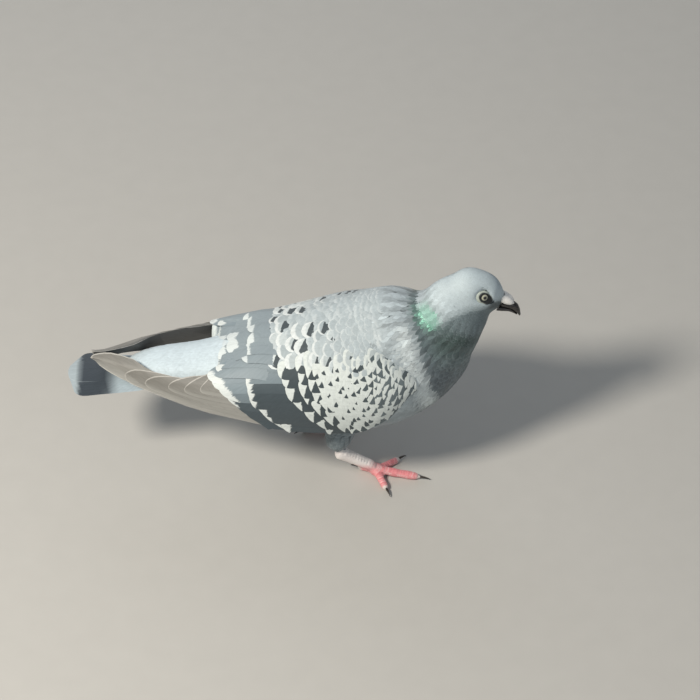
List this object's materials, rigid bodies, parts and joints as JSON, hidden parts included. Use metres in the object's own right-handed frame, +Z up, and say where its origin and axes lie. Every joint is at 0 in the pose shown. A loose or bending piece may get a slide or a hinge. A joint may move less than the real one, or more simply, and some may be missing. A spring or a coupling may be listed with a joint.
{
  "type": "feral pigeon",
  "caption": "Life-size standing feral pigeon with its head bowed and wings folded, pale grey with a chequered white wing shield, green neck sheen and pink feet.",
  "frame": {"origin": "middle of the bird's length and width, on the floor under its feet", "axes": "+X towards the bill, +Y to the bird's left, +Z up"},
  "size_m": [0.303, 0.1014, 0.1656],
  "materials": {
    "body_plumage": "soft matt contour feathers, silver grey with pale fringes",
    "neck_plumage": "soft contour feathers with a green and purple sheen",
    "head_plumage": "short smooth feathers, pale blue grey",
    "wing_coverts": "smooth covert feathers, white with dark slate checks",
    "flight_feathers": "stiff flight feathers with a faint sheen, brown grey with pale tips",
    "tail_feathers": "stiff tail feathers, grey with a dark band near the tip",
    "cere_skin": "dry powdery white bare skin",
    "bill_horn": "satin dark horn",
    "eye": "wet glossy eye with a pale inner ring and a dark pupil",
    "leg_scales": "dry scaly skin, coral pink",
    "claw_horn": "satin dark horn"
  },
  "bodies": {
    "root": {"trunk": "body_plumage", "neck": "neck_plumage", "head": "head_plumage", "tail": "tail_feathers", "cere": "cere_skin", "bill_upper": "bill_horn", "bill_lower": "bill_horn", "eye_left": "eye", "wing_left": "wing_coverts", "secondaries_left": "flight_feathers", "primaries_left": "flight_feathers", "thigh_left": "body_plumage", "shank_left": "leg_scales", "foot_left": "leg_scales", "eye_right": "eye", "wing_right": "wing_coverts", "secondaries_right": "flight_feathers", "primaries_right": "flight_feathers", "thigh_right": "body_plumage", "shank_right": "leg_scales", "foot_right": "leg_scales", "toe_middle_left": "leg_scales", "toe_outer_left": "leg_scales", "toe_inner_left": "leg_scales", "toe_hind_left": "leg_scales", "toe_middle_right": "leg_scales", "toe_outer_right": "leg_scales", "toe_inner_right": "leg_scales", "toe_hind_right": "leg_scales", "claw_middle_left": "claw_horn", "claw_outer_left": "claw_horn", "claw_inner_left": "claw_horn", "claw_hind_left": "claw_horn", "claw_middle_right": "claw_horn", "claw_outer_right": "claw_horn", "claw_inner_right": "claw_horn", "claw_hind_right": "claw_horn"}
  },
  "joints": []
}
